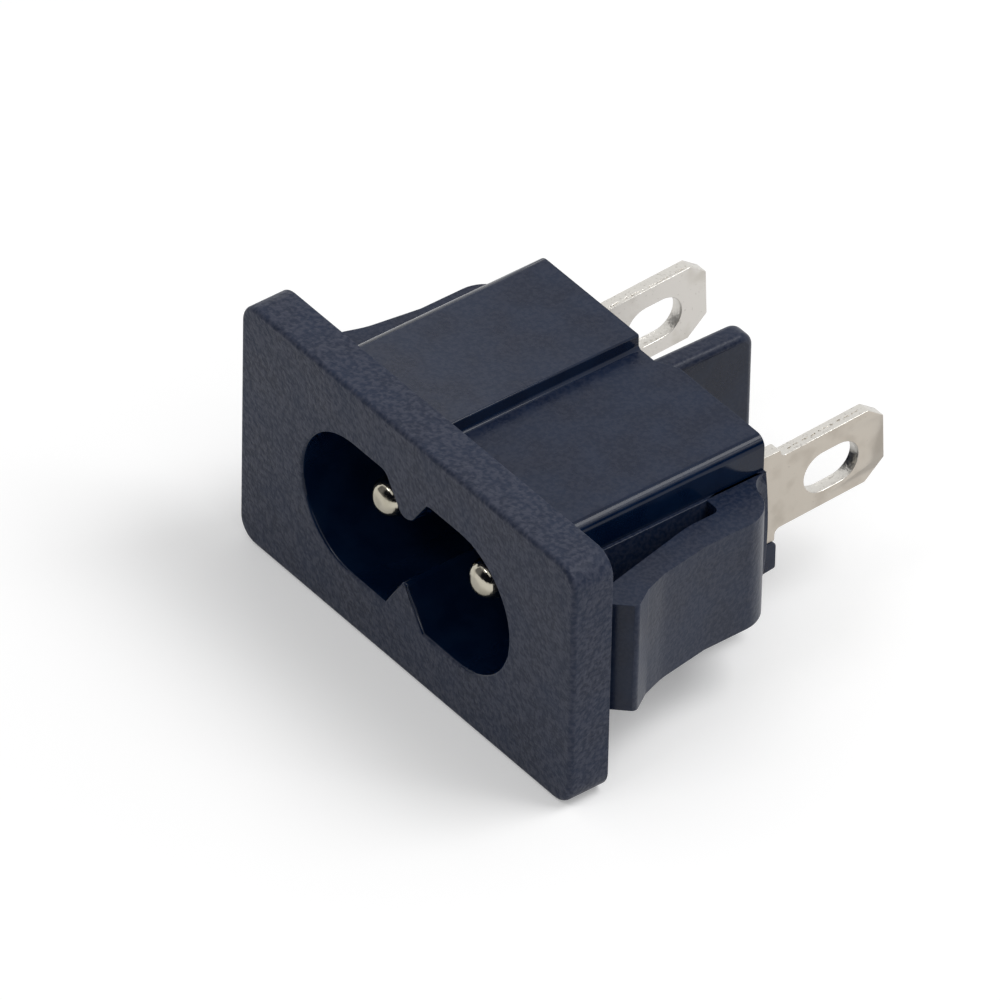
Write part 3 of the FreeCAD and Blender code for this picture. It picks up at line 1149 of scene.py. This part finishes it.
@dataclass
class DarkSides:
    """Unlit front and right side of the studio, which only glossy surfaces show."""

    left: float = -0.9
    right: float = 1.1
    front: float = -0.6
    back: float = 0.9
    low: float = 0.03
    front_height: float = 0.8
    side_height: float = 0.5

    def hang(
        self,
        name: str,
        start: tuple[float, float],
        end: tuple[float, float],
        height: float,
        sheet_finish: bpy.types.Material,
    ) -> None:
        """Hang one dark sheet of painted shade.

        Args:
            name: Name of the drape.
            start: Place of its first upright edge on the floor.
            end: Place of its other upright edge on the floor.
            height: Height of its top.
            sheet_finish: What it is made of.
        """
        corners = [(*start, self.low), (*end, self.low), (*end, height), (*start, height)]
        mesh = bpy.data.meshes.new(name)
        mesh.from_pydata(corners, [], [(3, 2, 1, 0)])
        mesh.materials.append(sheet_finish)
        dark_sheet = new_object(name, mesh)
        # Seen only in reflections: painted shade standing in for the unlit surroundings.
        dark_sheet.visible_camera = False
        dark_sheet.visible_diffuse = False
        dark_sheet.visible_shadow = False

    def build(self) -> None:
        """Hang both dark sheets of painted shade."""
        corner = (self.right, self.front)
        sheet_finish = DarkReflectionSheet().build()
        self.hang("dark_front", (self.left, self.front), corner, self.front_height, sheet_finish)
        self.hang("dark_right", corner, (self.right, self.back), self.side_height, sheet_finish)


@dataclass
class Studio:
    """Floor, surround, dark sides and lamps."""

    floor_gap: float = 0.02 * MM
    floor_half: float = 4.0
    surround: float = 0.50
    lamps: tuple[Softbox, ...] = (
        Softbox(
            name="overhead_back",
            azimuth_deg=140.0,
            elevation_deg=60.0,
            distance=0.45,
            width=0.22,
            height=0.22,
            power=0.90,
        ),
        Softbox(
            name="strip_right",
            azimuth_deg=127.0,
            elevation_deg=37.0,
            distance=0.40,
            width=0.03,
            height=0.10,
            power=0.03,
        ),
        Softbox(
            name="strip_left",
            azimuth_deg=240.0,
            elevation_deg=15.0,
            distance=0.45,
            width=0.10,
            height=0.05,
            power=0.045,
        ),
        Softbox(
            name="front_high",
            azimuth_deg=-4.0,
            elevation_deg=57.0,
            distance=0.50,
            width=0.16,
            height=0.13,
            power=0.22,
        ),
    )

    def build_floor(self, height: float) -> None:
        """Lay the floor.

        Args:
            height: Lowest point of the object.
        """
        reach, level = self.floor_half, height - self.floor_gap
        outline = ((-reach, -reach), (reach, -reach), (reach, reach), (-reach, reach))
        corners = [(*corner, level) for corner in outline]
        mesh = bpy.data.meshes.new("floor")
        mesh.from_pydata(corners, [], [(0, 1, 2, 3)])
        mesh.materials.append(PaleFloor().build())
        new_object("floor", mesh)

    def build_surround(self) -> None:
        """Make the white surround, full white where it is seen and softer where it only lights."""
        world = bpy.data.worlds.new("studio_surround")
        world.use_nodes = True
        bpy.context.scene.world = world
        bench = NodeBench(world.node_tree)
        strength = bench.blend(bench.seen(), self.surround, 1.0)
        white = {"Color": (1.0, 1.0, 1.0, 1.0), "Strength": strength}
        background = bench.place("ShaderNodeBackground", white)
        bench.place("ShaderNodeOutputWorld", {"Surface": background.outputs[0]})

    def build(self) -> None:
        """Set the studio up round the object."""
        low, high = CAD_BOX
        self.build_floor(low.z)
        self.build_surround()
        DarkSides().build()
        for lamp in self.lamps:
            lamp.build((low + high) / 2)


@dataclass
class PhotoCamera:
    """Camera at the photograph's viewing angle."""

    azimuth_deg: float = 51.388
    elevation_deg: float = 39.481
    roll_deg: float = 1.237
    distance: float = 0.9186
    focal_length: float = 611.8
    sensor: float = 36.0
    aim: tuple[float, float, float] = (0.0, 0.005, 0.0)
    slide: float = -0.887 * MM
    nearest_share: float = 0.1
    farthest_share: float = 20.0

    def build(self) -> None:
        """Place the camera and make it the scene's own."""
        camera = bpy.data.cameras.new("photo_camera")
        camera.lens = self.focal_length
        camera.sensor_width = self.sensor
        camera.clip_start = self.distance * self.nearest_share
        camera.clip_end = self.distance * self.farthest_share
        towards = viewing_direction(self.azimuth_deg, self.elevation_deg)
        azimuth, roll = math.radians(self.azimuth_deg), math.radians(self.roll_deg)
        level = Vector((math.cos(azimuth), math.sin(azimuth), 0.0))
        upright = towards.cross(level)
        right = level * math.cos(roll) + upright * math.sin(roll)
        up = upright * math.cos(roll) - level * math.sin(roll)
        place = Vector(self.aim) + towards * self.distance + right * self.slide
        turned = Matrix((right, up, towards)).transposed().to_4x4()
        holder = bpy.data.objects.new("photo_camera", camera)
        bpy.context.scene.collection.objects.link(holder)
        holder.matrix_world = Matrix.Translation(place) @ turned
        bpy.context.scene.camera = holder


def main() -> None:
    """Build the inlet, the studio and the camera."""
    logging.basicConfig(level=logging.INFO, format="%(name)s: %(message)s")
    bpy.context.scene.view_settings.view_transform = "Standard"
    grain, stain = GrainEffect().build(), StainEffect().build()
    Housing().build(MouldedPlastic().build(grain))
    lathe, burr = TurningLathe().build(), BurrTree().build()
    nickel = NickelPlate().build(grain, stain)
    lugs = (
        (SolderLug(Pole.LEFT, burr_across=0.8, seed=3), TinnedStrip()),
        (SolderLug(Pole.RIGHT, burr_across=0.5, seed=7), DARKER_STRIP),
    )
    for lug, strip in lugs:
        ContactPin(lug.pole).build(lathe, nickel)
        lug.build(burr, strip.build(grain, stain))
    Studio().build()
    PhotoCamera().build()


if __name__ == "__main__":
    main()
